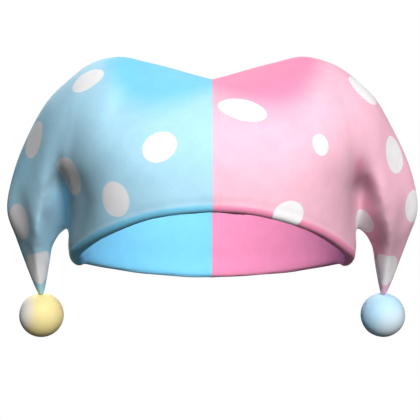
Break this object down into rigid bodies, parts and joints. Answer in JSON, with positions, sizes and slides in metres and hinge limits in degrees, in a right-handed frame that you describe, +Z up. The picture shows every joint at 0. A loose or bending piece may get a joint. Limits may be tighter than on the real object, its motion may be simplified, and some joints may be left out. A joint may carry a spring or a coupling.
{
  "type": "jester hat",
  "caption": "Soft two-colour jester hat with a centre seam, a rolled hem, drooping horns and a ball sewn to the tip of each horn.",
  "frame": {"origin": "middle of the head opening, half way between the lower edge of the hem at the forehead and at the nape", "axes": "+X to the viewer's right when facing the hat, +Y from the forehead to the nape, +Z up"},
  "size_m": [0.2834, 0.2122, 0.1939],
  "materials": {
    "blue_cloth": "brushed soft cloth with white dots",
    "pink_cloth": "brushed soft cloth with white dots",
    "yellow_felt": "smooth felt",
    "sky_felt": "smooth felt"
  },
  "bodies": {
    "root": {"blue_half": "blue_cloth", "pink_half": "pink_cloth", "yellow_ball": "yellow_felt", "sky_ball": "sky_felt"}
  },
  "joints": []
}
